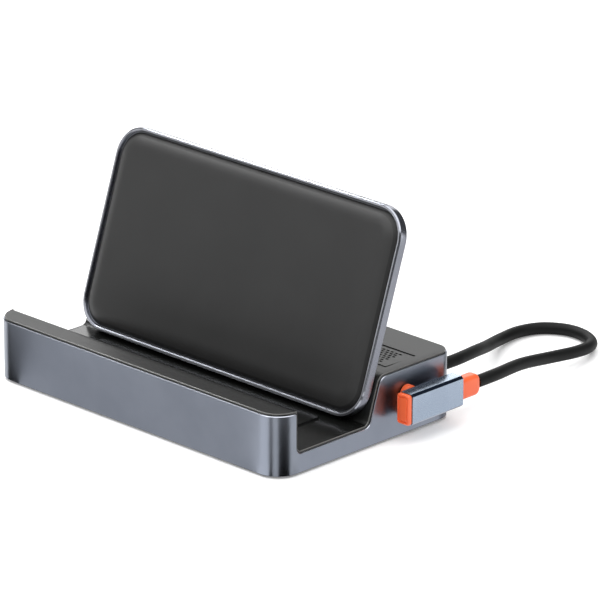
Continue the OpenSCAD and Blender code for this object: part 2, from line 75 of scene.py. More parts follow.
def arcCorner(before, corner, after, radius, steps):
    # the arc of that radius that touches both sides of the corner
    if radius <= 0:
        return corner[None]
    u, v = unit(before - corner), unit(after - corner)
    half = math.acos(np.clip(u @ v, -1, 1)) / 2
    centre = corner + unit(u + v) * radius / math.sin(half)
    start = corner + u * radius / math.tan(half) - centre
    end = corner + v * radius / math.tan(half) - centre
    turn = math.pi - 2 * half
    t = np.linspace(0, 1, steps + 1)[:, None]
    return centre + (np.sin(turn * (1 - t)) * start + np.sin(turn * t) * end) / math.sin(turn)


def roundedPath(corners, radii, steps=8, closed=True):
    # straight sides joined by arcs, as one array of points
    p = np.array(corners, float)
    count = len(p)
    parts = []
    for i in range(count):
        if not closed and i in (0, count - 1):
            parts.append(p[i][None])
        else:
            parts.append(arcCorner(p[i - 1], p[i], p[(i + 1) % count], radii[i], steps))
    return np.vstack(parts)


def resample(path, spacing):
    # extra points along an open path wherever two are further apart than spacing
    parts = [path[:1]]
    for a, b in zip(path[:-1], path[1:]):
        pieces = max(1, math.ceil(np.linalg.norm(b - a) / spacing))
        parts.append(a + (b - a) * np.linspace(0, 1, pieces + 1)[1:, None])
    return np.vstack(parts)


def boxCorners(w, h):
    # a rectangle w by h about the origin
    return np.array([(-w, -h), (w, -h), (w, h), (-w, h)]) / 2


def roundedBox(w, h, radius, steps=10):
    # the same rectangle with an arc at each corner
    return roundedPath(boxCorners(w, h), [max(radius, 1e-5)] * 4, steps)


def gridFaces(rows, cols, wrapRows=False, wrapCols=True):
    # quads between neighbouring rows and columns of a grid of points
    r = np.arange(rows if wrapRows else rows - 1)[:, None]
    c = np.arange(cols if wrapCols else cols - 1)[None]
    r1, c1 = (r + 1) % rows, (c + 1) % cols
    quads = np.stack([r * cols + c, r * cols + c1, r1 * cols + c1, r1 * cols + c], -1)
    return quads.reshape(-1, 4)


def buildMesh(name, points, faces, sharp=sharpAngle, materials=(), faceMaterial=None):
    # a smooth piece from points and faces, with crisp edges past the sharp angle
    mesh = bpy.data.meshes.new(name)
    mesh.from_pydata(np.asarray(points, float).tolist(), [], [list(map(int, f)) for f in faces])
    mesh.validate()
    mesh.shade_smooth()
    mesh.set_sharp_from_angle(angle=math.radians(sharp))
    for material in materials:
        mesh.materials.append(material)
    if faceMaterial is not None:
        mesh.polygons.foreach_set("material_index", np.asarray(faceMaterial, np.int32))
    piece = bpy.data.objects.new(name, mesh)
    bpy.context.scene.collection.objects.link(piece)
    return piece


def loft(name, rings, caps=(False, False), wrapRows=False, **options):
    # rings of points joined one after another, with flat caps or closed into a torus
    rings = np.asarray(rings, float)
    rows, cols = rings.shape[:2]
    faces = [list(f) for f in gridFaces(rows, cols, wrapRows)]
    if caps[0]:
        faces.append(list(range(cols))[::-1])
    if caps[1]:
        faces.append([(rows - 1) * cols + k for k in range(cols)])
    return buildMesh(name, rings.reshape(-1, 3), faces, **options)


def faceOut(piece):
    # makes every face of a closed mesh point outwards
    work = bmesh.new()
    work.from_mesh(piece.data)
    bmesh.ops.recalc_face_normals(work, faces=work.faces)
    work.to_mesh(piece.data)
    work.free()
    return piece


def applyModifiers(piece):
    # the piece's mesh with its modifiers worked in
    graph = bpy.context.evaluated_depsgraph_get()
    done = bpy.data.meshes.new_from_object(piece.evaluated_get(graph))
    piece.modifiers.clear()
    piece.data = done
    return piece


def cutAway(piece, cutters):
    # takes each cutter's solid out of the piece
    for cutter in cutters:
        cut = piece.modifiers.new("cut", "BOOLEAN")
        cut.operation = "DIFFERENCE"
        cut.object = cutter
        cut.solver = "EXACT"
    applyModifiers(piece)
    for cutter in cutters:
        bpy.data.objects.remove(cutter)
    piece.data.shade_smooth()
    piece.data.set_sharp_from_angle(angle=math.radians(sharpAngle))
    return piece


def blockBetween(lo, hi):
    # a box from one corner to the opposite one: its lower four corners, then its upper four
    ring = [(0, 0), (1, 0), (1, 1), (0, 1)]
    p = np.array([[(lo, hi)[i][0], (lo, hi)[j][1], end[2]] for end in (lo, hi)
                  for i, j in ring]).reshape(2, 4, 3)
    return faceOut(loft("cutter", p, caps=(True, True)))


def rodAcross(x0, x1, y, z, radius, sides=48):
    # a round rod along x: one circle at each end
    a = np.linspace(0, 2 * math.pi, sides, endpoint=False)
    ring = np.stack([np.zeros(sides), y + radius * np.cos(a), z + radius * np.sin(a)], -1)
    return faceOut(loft("cutter", [ring + (x, 0, 0) for x in (x0, x1)], caps=(True, True)))


def finishPiece(piece, body, slot, *replaced):
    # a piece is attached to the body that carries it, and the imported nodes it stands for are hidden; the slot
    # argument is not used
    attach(piece, body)
    if replaced:
        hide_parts(*replaced)
    return piece


# camera, floor and light

view = dict(azimuth=44.62, elevation=20.27, distance=1.73385, lens=312, sensor=36,
            target=(0.03749, 0.0, 0.0448))


def makeCamera(v):
    # the camera stands back from the target along its line of sight
    a, e = math.radians(v["azimuth"]), math.radians(v["elevation"])
    forward = np.array([-math.sin(a) * math.cos(e), math.cos(a) * math.cos(e), -math.sin(e)])
    camera = bpy.data.objects.new("camera", bpy.data.cameras.new("camera"))
    camera.data.lens = v["lens"]
    camera.data.sensor_width = v["sensor"]
    camera.data.clip_start, camera.data.clip_end = 0.05, 20
    camera.location = np.array(v["target"]) - forward * v["distance"]
    camera.rotation_mode = "QUATERNION"
    camera.rotation_quaternion = Vector(forward).to_track_quat("-Z", "Y")
    bpy.context.scene.collection.objects.link(camera)
    bpy.context.scene.camera = camera


makeCamera(view)
print("camera placed")


# materials

def linear(hexColour):
    # sRGB hex to linear light
    c = np.array([int(hexColour[i:i + 2], 16) for i in (1, 3, 5)]) / 255
    return (*np.where(c <= 0.04045, c / 12.92, ((c + 0.055) / 1.055) ** 2.4), 1.0)


def addNode(tree, kind, settings=None, inputs=None, links=None):
    # one node with its settings, its plain inputs, and its links from other nodes' sockets
    node = tree.nodes.new(kind)
    for key, value in (settings or {}).items():
        setattr(node, key, value)
    for key, value in (inputs or {}).items():
        node.inputs[key].default_value = value
    for key, (source, socket) in (links or {}).items():
        tree.links.new(source.outputs[socket], node.inputs[key])
    return node


def surface(name, **shader):
    # a plain shader with its own values, for patterns to be linked to
    material = bpy.data.materials.new(name)
    material.use_nodes = True
    tree = material.node_tree
    tree.nodes.clear()
    bsdf = addNode(tree, "ShaderNodeBsdfPrincipled", inputs=shader)
    addNode(tree, "ShaderNodeOutputMaterial", links={"Surface": (bsdf, "BSDF")})
    material.diffuse_color = shader.get("Base Color", (0.8, 0.8, 0.8, 1))
    return material, tree, bsdf


def mottle(tree, bsdf, colours, patch, place, low=0.35, high=0.65):
    # the base colour drifts between two close shades, over patches so many mm across
    noise = addNode(tree, "ShaderNodeTexNoise", inputs={"Scale": 1 / (patch * mm), "Detail": 3},
                    links={"Vector": (place, "Object")})
    ramp = addNode(tree, "ShaderNodeValToRGB", links={"Fac": (noise, "Fac")})
    for stop, position, colour in zip(ramp.color_ramp.elements, (low, high), colours):
        stop.position, stop.color = position, linear(colour)
    tree.links.new(ramp.outputs["Color"], bsdf.inputs["Base Color"])


def grain(tree, bsdf, size, strength, depth, rough, place):
    # bumps of that size and depth in mm, and the roughness that goes with them
    noise = addNode(tree, "ShaderNodeTexNoise", inputs={"Scale": 1 / (size * mm), "Detail": 2},
                    links={"Vector": (place, "Object")})
    bump = addNode(tree, "ShaderNodeBump", inputs={"Strength": strength, "Distance": depth * mm},
                   links={"Height": (noise, "Fac")})
    tree.links.new(bump.outputs["Normal"], bsdf.inputs["Normal"])
    spread = addNode(tree, "ShaderNodeMapRange", inputs={"To Min": rough[0], "To Max": rough[1]},
                     links={"Value": (noise, "Fac")})
    tree.links.new(spread.outputs["Result"], bsdf.inputs["Roughness"])


def anodisedAluminium(name, colours, rough):
    # bead-blasted then anodised: a satin metal whose dye sits a little unevenly. The beads'
    # dents are about 0.1 mm wide, drawn as coarse as they need to be to show
    material, tree, bsdf = surface(name, Metallic=1.0, Roughness=0.34)
    place = addNode(tree, "ShaderNodeTexCoord")
    mottle(tree, bsdf, colours, patch=16.667, place=place)
    grain(tree, bsdf, size=0.2857, strength=0.12, depth=0.04, rough=rough, place=place)
    return material


def bareMetal(name, colour, rough):
    # cut, plated or rolled metal: one clear colour with faint marks 0.2 mm apart
    material, tree, bsdf = surface(name, Metallic=1.0, Roughness=rough)
    bsdf.inputs["Base Color"].default_value = linear(colour)
    place = addNode(tree, "ShaderNodeTexCoord")
    grain(tree, bsdf, size=0.2, strength=0.05, depth=0.03, rough=(rough - 0.03, rough + 0.04),
          place=place)
    return material


def mouldedPlastic(name, colours, rough, size=0.3846, strength=0.18, specular=0.5):
    # takes the mould's spark-eroded finish: a fine even matte texture, grain size in mm
    material, tree, bsdf = surface(name, Roughness=0.46, IOR=1.52)
    bsdf.inputs["Specular IOR Level"].default_value = specular
    place = addNode(tree, "ShaderNodeTexCoord")
    mottle(tree, bsdf, colours, patch=22.222, place=place)
    grain(tree, bsdf, size, strength, depth=0.05, rough=rough, place=place)
    return material


# metals: cool grey satin on the band, the rim and the plug, with bright lines at the band's and rim's cuts and a
# painted dark reflection on the plug's
shellAluminium = anodisedAluminium("anodised_aluminium_shell", ("#7d828c", "#838892"),
                                   (0.26, 0.32))
rimAluminium = anodisedAluminium("anodised_aluminium_rim", ("#7c7e86", "#82848c"), (0.24, 0.32))
sleeveAluminium = anodisedAluminium("anodised_aluminium_plug", ("#98a4b3", "#9fabba"),
                                    (0.24, 0.3))
edgeCut = bareMetal("diamond_cut_edge", "#bcc0ca", 0.3)    # a pale line round the band's top
rimCut = bareMetal("diamond_cut_rim", "#9fa2aa", 0.18)     # thin bright lines round the rim
rimFace = bareMetal("brushed_rim_face", "#c0c2c9", 0.48)   # a soft pale face beside the pad
sleeveCutPaintedReflection = bareMetal("polished_plug_edge_painted_reflection", "#4a5a74", 0.12)    # polished cuts along the plug, their dark navy colour a painted reflection

# ABS from one mould with several finishes: matte on top, smoother on the lip and in the cradle, with painted shade
# in the cradle and a painted highlight on the lip's turn
coverAbs = mouldedPlastic("moulded_abs_black", ("#121312", "#161716"), (0.4, 0.48), specular=0.42)
coverLip = mouldedPlastic("moulded_abs_lip", ("#141514", "#181918"), (0.2, 0.26), strength=0.05)
# a grey copy of the black ABS for the lip's turn: a painted highlight
coverLipPaintedHighlight = mouldedPlastic("moulded_abs_lip_painted_highlight", ("#5a5a58", "#646462"), (0.22, 0.28),
                           strength=0.05)
# a smoother, slightly darker copy of the top's ABS for the cradle: the smoothness is its finish, the darkness is
# painted shade in the slot
cradleAbsPaintedShade = mouldedPlastic("moulded_abs_cradle_painted_shade", ("#0f100f", "#121312"), (0.2, 0.26),
                           strength=0.05)
bottomAbs = mouldedPlastic("moulded_abs_underside", ("#1f2020", "#232424"), (0.5, 0.6))

# the plug's ends are glossier, and the lead's sheath is a dull thermoplastic rubber
orangePolycarbonate = mouldedPlastic("orange_polycarbonate", ("#f0602f", "#f46838"), (0.3, 0.38),
                                     size=0.5556, strength=0.06)
leadSheath = mouldedPlastic("tpe_lead_sheath", ("#0a0b0b", "#0d0e0e"), (0.52, 0.6), size=0.625,
                            specular=0.18)


def padSkinMaterial():
    # thin polyurethane leather over foam: soft, dark, with grain cells 0.7 mm wide and a slight
    # sheen
    material, tree, bsdf = surface("polyurethane_skin", Roughness=0.5, IOR=1.48)
    bsdf.inputs["Sheen Weight"].default_value = 0.08
    bsdf.inputs["Sheen Roughness"].default_value = 0.4
    place = addNode(tree, "ShaderNodeTexCoord")
    mottle(tree, bsdf, ("#2a2a2a", "#2e2e2e"), patch=33.333, place=place)
    cells = addNode(tree, "ShaderNodeTexVoronoi", inputs={"Scale": 1 / (0.7143 * mm)},
                    links={"Vector": (place, "Object")})
    bump = addNode(tree, "ShaderNodeBump", inputs={"Strength": 0.12, "Distance": 0.05 * mm},
                   links={"Height": (cells, "Distance")})
    tree.links.new(bump.outputs["Normal"], bsdf.inputs["Normal"])
    return material


padSkin = padSkinMaterial()
# the skin's border is a darker copy of the skin with a flatter grain: painted shade where the pad rolls down to
# the rim
padPaintedShade = mouldedPlastic("polyurethane_edge_painted_shade", ("#141414", "#171717"), (0.5, 0.58),
                         strength=0.05)
print("materials mixed")


# base

base = dict(frontHeight=21.2, slotHeight=6.7, rearHeight=23.0, frontWall=8.6, slotWidth=33.0,
            frontRadius=8.5, rearRadius=6.0, headRadius=3.0, footRadius=3.0, innerRadius=2.5,
            wall=1.2, cut=0.2, gap=0.1, foot=0.25, spacing=0.9, wallRows=26, portDepth=4.0,
            past=2.0)

shellLo, shellHi = boxOf("shell")
halfW, halfD, shellZ = shellHi[0], shellHi[1], shellLo[2]
fold = next(j for j in frame["joints"] if j["name"] == "support_fold")
pin = np.array(fold["pos_m"])
lean = math.radians(90 - fold["range_deg"][1])   # the support lies level at the end of its fold
frontIn = -halfD + base["frontWall"]

# the top cover: its lip ends just above the band's edge, a little in from the band's outside
cover = dict(lip=0.8, lipRadius=0.8, lipInset=0.45, lipRound=0.28, skirt=0.47, wall=0.7,
             columns=61, spacing=2.5, cornerSteps=12, hingeX=38.0, hingeHalf=7.8, hingeRadius=5.02,
             ventDepth=4.0)


def sideCorners(g):
    # corners of the base's upper side outline (y, z), moved out by g from the shell's edges
    top = shellZ + base["rearHeight"] + g
    floor = shellZ + base["slotHeight"] + g
    front = shellZ + base["frontHeight"] + g
    floorLip = shellZ + base["slotHeight"] + cover["lip"]
    foot = frontIn + cover["lip"] + base["slotWidth"] + (cover["lip"] - g) / math.cos(lean)
    backFloor = foot + (floor - floorLip) * math.tan(lean)
    backTop = foot + (top - floorLip) * math.tan(lean)
    corners = [(frontIn + g, front), (frontIn + g, floor), (backFloor, floor), (backTop, top)]
    radii = [cover["lipRadius"] + g, base["innerRadius"] - g, base["footRadius"] - g,
             base["headRadius"] + g]
    return corners, radii, front, top


def footprint(s, offset):
    # half the base's plan from the middle of its front (s = 0) to the middle of its rear,
    # by arc length: straight, corner arc, straight, corner arc, straight; offset is outwards
    rf, rr = base["frontRadius"], base["rearRadius"]
    lengths = np.cumsum([halfW - rf, rf * math.pi / 2, 2 * halfD - rf - rr, rr * math.pi / 2])
    part = np.searchsorted(lengths, s)
    along = s - np.concatenate([[0], lengths])[part]
    turnF, turnR = along / rf - math.pi / 2, along / rr
    x = np.choose(part, [along, halfW - rf + (rf + offset) * np.cos(turnF), halfW + offset + 0 * s,
                         halfW - rr + (rr + offset) * np.cos(turnR), halfW - rr - along])
    y = np.choose(part, [-halfD - offset + 0 * s, -halfD + rf + (rf + offset) * np.sin(turnF),
                         -halfD + rf + along, halfD - rr + (rr + offset) * np.sin(turnR),
                         halfD + offset + 0 * s])
    return x, y


def shellRings():
    # the band's wall as rings: its foot, up the outside, over the cut edge and down the inside
    rf, rr = base["frontRadius"], base["rearRadius"]
    sideStart = halfW - rf + rf * math.pi / 2
    half = sideStart + 2 * halfD - rf - rr + rr * math.pi / 2 + halfW - rr
    corners, radii, front, top = sideCorners(0)
    toS = [(sideStart + y + halfD - rf, z) for y, z in corners]
    edge = roundedPath([(0, front), *toS, (half, top)], [0, *radii, 0], steps=8, closed=False)
    edge = resample(edge, base["spacing"])
    tangent = unit(np.gradient(edge, axis=0))
    inward = np.stack([tangent[:, 1], -tangent[:, 0]], -1)
    inner = edge + inward * base["cut"]
    # the wall's columns lean back under the slot's upright edge, so that none of them cross
    run = np.concatenate([[0], np.cumsum(np.linalg.norm(np.diff(edge, axis=0), axis=1))])
    upright = np.argmax(edge[:, 1] < shellZ + base["slotHeight"] + base["innerRadius"])
    squeeze = np.minimum(run / run[upright], 1)
    feet = np.where(run <= run[upright], squeeze * edge[upright, 0], edge[:, 0])
    feet = np.maximum.accumulate(feet)
    bottom = np.stack([feet, np.full(len(feet), shellZ)], -1)
    rows = [(bottom + (0, base["foot"])) * (1 - t) + inner * t
            for t in np.linspace(0, 1, base["wallRows"])]
    depth = [-base["foot"], *[0] * len(rows), -base["cut"], -base["wall"], -base["wall"]]
    rows = [bottom, *rows, edge, edge, bottom]
    rings = []
    for row, offset in zip(rows, depth):
        x, y = footprint(row[:, 0], offset)
        right = np.stack([x, y, row[:, 1]], -1)
        left = (right * (-1, 1, 1))[-2:0:-1]
        rings.append(np.vstack([right, left]))
    return np.array(rings) * mm, len(rows)


def makeShell():
    # the rings joined into a closed band, less a window for each port in the rear wall
    rings, rows = shellRings()
    cols = rings.shape[1]
    material = np.zeros((rows, cols), int)
    material[rows - 4] = 1    # the diamond-cut edge, from the wall's last row outside to the top
    shell = loft("shell_band", rings, wrapRows=True, sharp=24,
                 materials=[shellAluminium, edgeCut], faceMaterial=material.ravel())
    faceOut(shell)
    cutters = []
    gap = base["gap"]
    for name in ("ethernet_port", "hdmi_port", "usb_port_left", "usb_port_middle",
                 "usb_port_right", "power_port"):
        lo, hi = boxOf(name)
        cutters.append(blockBetween(
            np.array([lo[0] - gap, halfD - base["portDepth"], lo[2] - gap]) * mm,
            np.array([hi[0] + gap, halfD + base["past"], hi[2] + gap]) * mm))
    cutAway(shell, cutters)
    return finishPiece(shell, "base", "anodised_aluminium", "shell")


makeShell()
print("shell made")


def coverHalfWidth(y, inset):
    # half the cover's width at each y, where the plan's corners are round
    rf, rr = base["frontRadius"], base["rearRadius"]
    front = np.clip(-halfD + rf - y, 0, rf - inset)
    rear = np.clip(y - halfD + rr, 0, rr - inset)
    return (halfW - inset - (rf - inset) + np.sqrt((rf - inset) ** 2 - front ** 2)
            - (rr - inset) + np.sqrt((rr - inset) ** 2 - rear ** 2))


def borderDirections(edge, centreX, centreLo, centreHi):
    # from each point of the cover's border straight away from the nearest line or corner centre
    centre = np.stack([np.sign(edge[:, 0]) * np.minimum(np.abs(edge[:, 0]), centreX),
                       np.clip(edge[:, 1], centreLo, centreHi)], -1)
    out = edge[:, :2] - centre
    out = np.stack([out[:, 0], out[:, 1], np.zeros(len(edge))], -1)
    straight = np.linalg.norm(out, axis=1) < 1e-6
    out[straight] = np.sign(edge[straight, :1]) * (1, 0, 0)
    return unit(out)


def coverPath(inner):
    # the side outline above the shell, with rows added where the plan's corners are round
    corners, radii, front, top = sideCorners(cover["lip"])
    frontY, rearY = -halfD + inner, halfD - inner
    path = roundedPath([(frontY, front), *corners, (rearY, top)], [0, *radii, 0], 10, closed=False)
    arc = np.linspace(0, math.pi / 2, cover["cornerSteps"])[1:]
    arcY = frontY + (base["frontRadius"] - inner) * (1 - np.cos(arc))
    falling = path[:np.argmin(path[:, 1])]
    frontArc = np.stack([arcY, np.interp(arcY, falling[:, 0], falling[:, 1])], -1)
    arcY = rearY - (base["rearRadius"] - inner) * (1 - np.cos(arc[::-1]))
    rearArc = np.stack([arcY, np.full(len(arc), top)], -1)
    middle = path[1:-1]
    middle = middle[middle[:, 0] > frontArc[-1, 0]]
    return np.vstack([path[:1], frontArc, resample(middle, cover["spacing"]), rearArc, path[-1:]])


def makeCover():
    # the top sheet is the side outline carried across the base, and a rounded lip goes down
    # from its edge all round
    inner = cover["lipInset"] + cover["lipRound"]
    path = coverPath(inner)
    rows, cols = len(path), cover["columns"]
    across = np.linspace(-1, 1, cols)
    halfWidth = coverHalfWidth(path[:, 0], inner)
    sheet = np.stack([across[None] * halfWidth[:, None], np.repeat(path[:, :1], cols, 1),
                      np.repeat(path[:, 1:], cols, 1)], -1)
    tangent = unit(np.gradient(path, axis=0))
    up = np.stack([np.zeros(rows), -tangent[:, 1], tangent[:, 0]], -1)
    # the sheet's border, once round: front, right, rear, left
    index = np.arange(rows * cols).reshape(rows, cols)
    border = np.concatenate([index[0], index[1:, -1], index[-1, -2::-1], index[-2:0:-1, 0]])
    points = sheet.reshape(-1, 3)
    edge = points[border]
    rf, rr = base["frontRadius"] - inner, base["rearRadius"] - inner
    out = borderDirections(edge, halfW - inner - np.where(edge[:, 1] < 0, rf, rr),
                           path[0, 0] + rf, path[-1, 0] - rr)
    above = up[border // cols]
    r = cover["lipRound"]
    rings = [edge + out * r * math.sin(a) - above * r * (1 - math.cos(a))
             for a in np.linspace(0, math.pi / 2, 6)[1:]]
    rings.append(edge + out * r - above * (r + cover["skirt"]))
    count = len(border)
    faces = [list(f) for f in gridFaces(rows, cols, wrapCols=False)]
    flat = len(faces)
    previous = border
    for k in range(len(rings)):
        current = len(points) + k * count + np.arange(count)
        quads = np.stack([previous, current, np.roll(current, -1), np.roll(previous, -1)], -1)
        faces += [list(f) for f in quads]
        previous = current
    # matte on top; smooth on the cradle's floor, in a darker copy that is painted shade; a painted highlight on
    # the lip's turn; dark on its skirt
    finish = np.zeros(len(faces), int)
    low = path[1:, 1] < shellZ + base["slotHeight"] + cover["lip"] + 0.3
    finish[:flat] = np.repeat(np.where(low, 3, 0), cols - 1)
    # the lip's first rings take the painted highlight
    finish[flat:flat + 4 * count] = 1
    finish[flat + 4 * count:] = 2
    sheet = buildMesh("cover_sheet", np.vstack([points, *rings]) * mm, faces, faceMaterial=finish,
                      materials=[coverAbs, coverLipPaintedHighlight, coverLip, cradleAbsPaintedShade])
    wall = sheet.modifiers.new("wall", "SOLIDIFY")
    wall.thickness = cover["wall"] * mm
    wall.offset = -1
    applyModifiers(sheet)
    x, half = cover["hingeX"], cover["hingeHalf"]
    cutters = [rodAcross((side * x - half) * mm, (side * x + half) * mm, pin[1], pin[2],
                         cover["hingeRadius"] * mm) for side in (-1, 1)]
    lo, hi = boxOf("vent_grille")
    gap = base["gap"]
    cutters.append(blockBetween(
        np.array([lo[0] - gap, lo[1] - gap, hi[2] - cover["ventDepth"]]) * mm,
        np.array([hi[0] + gap, hi[1] + gap, hi[2] + base["past"]]) * mm))
    cutAway(sheet, cutters)
    return finishPiece(sheet, "base", "black_plastic", "top_cover")


makeCover()
print("cover made")


# raised brings the strip nearly flush; bevels in mm at edges sharper than so many degrees
grille = dict(raised=0.22, weld=0.002, flatWithin=2, bevel=0.12, bevelFrom=40)


def makeGrille():
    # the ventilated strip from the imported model, its slots' edges broken so that they catch light
    work = bmesh.new()
    work.from_mesh(nodes["vent_grille"].data)
    bmesh.ops.remove_doubles(work, verts=work.verts, dist=grille["weld"] * mm)
    bmesh.ops.dissolve_limit(work, angle_limit=math.radians(grille["flatWithin"]),
                             verts=work.verts, edges=work.edges)
    bmesh.ops.translate(work, verts=work.verts, vec=(0, 0, grille["raised"] * mm))
    mesh = bpy.data.meshes.new("vent_strip")
    work.to_mesh(mesh)
    work.free()
    mesh.materials.append(coverAbs)
    strip = bpy.data.objects.new("vent_strip", mesh)
    bpy.context.scene.collection.objects.link(strip)
    bevel = strip.modifiers.new("broken edges", "BEVEL")
    bevel.width, bevel.segments = grille["bevel"] * mm, 1
    bevel.limit_method, bevel.angle_limit = "ANGLE", math.radians(grille["bevelFrom"])
    applyModifiers(strip)
    return finishPiece(strip, "base", "black_plastic", "vent_grille")


makeGrille()
print("grille made")


# back support

support = dict(width=136.0, length=72.4, thick=4.6, radius=11.0, restGap=0.3, floorGap=0.4)

# the rim's section: rear and front bevels with a hair of rounding beside each, the face beside
# the pad with its inner chamfer, and a flange behind the pad
rim = dict(width=1.3, rearBevel=1.2, frontBevel=0.5, hair=0.07, faceChamfer=0.3,
           flange=4.0, flangeHigh=2.6, flangeLow=1.7, rearChamfer=0.1)

# the pad: roll is how far in its edge rises, and the width after it is that of the border darkened as painted
# shade
pad = dict(gap=0.5, roll=7.0, shadedBorder=1.3, tuck=1.2, crown=1.2, low=3.4, rings=24, crowding=1.6,
           swell=2.6, cornerSteps=14)

upAxis = np.array([0, math.sin(lean), math.cos(lean)])
outAxis = np.array([0, -math.cos(lean), math.sin(lean)])


def findSupportFoot():
    # the lower edge of the support's rear plane: up the sloping wall from the slot's floor,
    # and out from the wall by the resting gap
    foot = np.array([0, frontIn + cover["lip"] + base["slotWidth"],
                     shellZ + base["slotHeight"] + cover["lip"]])
    rise = (support["floorGap"] - support["restGap"] * math.sin(lean)) / math.cos(lean)
    return foot + outAxis * support["restGap"] + upAxis * rise


supportFoot = findSupportFoot()


def onSupport(x, v, w):
    # support coordinates (across, up, out) to the base's frame
    x, v, w = np.broadcast_arrays(x, v, w)
    return (supportFoot + x[..., None] * np.array([1.0, 0, 0]) + v[..., None] * upAxis
            + w[..., None] * outAxis) * mm


def supportRing(inset, height, steps=12):
    # the support's rounded outline, moved in by the inset, at a height above its rear plane
    outline = roundedBox(support["width"] - 2 * inset, support["length"] - 2 * inset,
                         support["radius"] - inset, steps)
    return onSupport(outline[:, 0], outline[:, 1] + support["length"] / 2, height)


def makeRim():
    # the section carried round the outline, each point of it a ring (inset, height)
    t, rb, fb, e = support["thick"], rim["rearBevel"], rim["frontBevel"], rim["hair"]
    w, c, inner = rim["width"], rim["faceChamfer"], rim["width"] + rim["flange"]
    profile = [(rb, 0), (rb - e, 0.4 * e), (e, rb - e), (0, rb + e), (0, t - fb - e),
               (0.4 * e, t - fb + 0.4 * e), (fb - e, t - 0.4 * e), (fb + e, t), (w - c, t),
               (w, t - c), (w, rim["flangeHigh"]), (inner, rim["flangeHigh"]),
               (inner, rim["flangeLow"]), (w, rim["flangeLow"]), (w, rim["rearChamfer"]),
               (w - rim["rearChamfer"], 0)]
    rings = [supportRing(inset, height) for inset, height in profile]
    material = np.zeros((len(rings), rings[0].shape[0]), int)
    material[[1, 5]] = 1    # the two bevels
    material[7] = 2         # the face beside the pad
    frameRim = loft("support_rim", rings, wrapRows=True, sharp=20,
                    materials=[rimAluminium, rimCut, rimFace], faceMaterial=material.ravel())
    faceOut(frameRim)
    return finishPiece(frameRim, "back_support", "anodised_aluminium", "support_frame")


makeRim()
print("rim made")


def makePad():
    # rings from the rim inwards: the skin rolls up over the foam's edge, then lies nearly flat
    start = rim["width"] + pad["gap"]
    spread = np.linspace(0.02, 1, pad["rings"]) ** pad["crowding"]
    insets = np.concatenate([[0, 0], pad["roll"] * spread])
    rise = 1 - (1 - np.clip(insets / pad["roll"], 0, 1)) ** pad["swell"]
    heights = support["thick"] - pad["tuck"] + (pad["crown"] + pad["tuck"]) * rise
    heights[0] = pad["low"]
    rings = [supportRing(start + i, h, pad["cornerSteps"]) for i, h in zip(insets, heights)]
    finish = np.zeros((len(rings) - 1, rings[0].shape[0]), int)
    # the outer rings, out to that width, take the darker border: painted shade
    finish[:np.argmax(insets > pad["shadedBorder"])] = 1
    cushion = loft("support_cushion", rings, caps=(True, True), sharp=60,
                   materials=[padSkin, padPaintedShade], faceMaterial=np.append(finish.ravel(), [0, 0]))
    faceOut(cushion)
    return finishPiece(cushion, "back_support", "soft_pad", "support_pad")


makePad()
print("pad made")


# lead and plug

lead = dict(diameter=4.3, sides=24, steps=12)

# the lead's route in metres: straight out of the gland, down to the surface, round and back
leadRoute = [(0.0555, 0.048, 0.0128), (0.0555, 0.051, 0.0128), (0.055, 0.059, 0.0125),
             (0.0505, 0.072, 0.0104), (0.0433, 0.086, 0.0066), (0.0364, 0.1, 0.0034),
             (0.034, 0.1125, 0.0024), (0.037, 0.1215, 0.0022), (0.0445, 0.1265, 0.0022),
             (0.0525, 0.1265, 0.0022), (0.0595, 0.1225, 0.0026), (0.064, 0.1155, 0.0037),
             (0.0656, 0.1065, 0.0048), (0.0664, 0.0925, 0.0068), (0.07, 0.0745, 0.0104),
             (0.0744, 0.0575, 0.0126), (0.075, 0.05, 0.0129), (0.075, 0.0466, 0.0129)]


def smoothLine(points, steps):
    # a Catmull-Rom curve through the points
    p = np.array(points)
    q = np.vstack([2 * p[0] - p[1], p, 2 * p[-1] - p[-2]])
    t = np.linspace(0, 1, steps, endpoint=False)[None, :, None]
    a, b, c, d = (q[i:len(q) - 3 + i, None] for i in range(4))
    curve = 0.5 * (2 * b + (c - a) * t + (2 * a - 5 * b + 4 * c - d) * t ** 2
                   + (3 * b - a - 3 * c + d) * t ** 3)
    return np.vstack([curve.reshape(-1, 3), p[-1:]])


def makeLead():
    # a circle carried along the route, level at both of its ends
    line = smoothLine(leadRoute, lead["steps"])
    along = np.gradient(line, axis=0)
    along[0], along[-1] = (0, 1, 0), (0, -1, 0)
    along = unit(along)
    side = unit(np.cross(along, (0, 0, 1)))
    up = np.cross(side, along)
    a = np.linspace(0, 2 * math.pi, lead["sides"], endpoint=False)[None, :, None]
    r = lead["diameter"] / 2 * mm
    rings = line[:, None] + r * (np.cos(a) * side[:, None] + np.sin(a) * up[:, None])
    tube = loft("lead_tube", rings, caps=(True, True), sharp=50, materials=[leadSheath])
    faceOut(tube)
    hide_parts("cable")
    return tube, line


leadTube, leadLine = makeLead()

plug = dict(cut=0.85, gap=0.45, sleeveWall=0.5, ease=0.12, edgeRadius=0.06, corner=1.2)
collarShape = dict(y=18.0, width=6.0, height=11.2, wallGap=0.3, round=0.25)
reliefShape = dict(bend=2.6, corner=1.6, least=(1.6, 2.2), taper=(1.1, 1.9))

sleeveLo, sleeveHi = boxOf("plug_sleeve")
sleeveMiddle = (sleeveLo + sleeveHi) / 2
sleeveW, sleeveH = sleeveHi[0] - sleeveLo[0], sleeveHi[2] - sleeveLo[2]


def atPlace(outline, y, middle):
    # an outline (across, up) stood upright at one place along the plug
    return np.stack([middle[0] + outline[:, 0], np.full(len(outline), y),
                     middle[2] + outline[:, 1]], -1) * mm


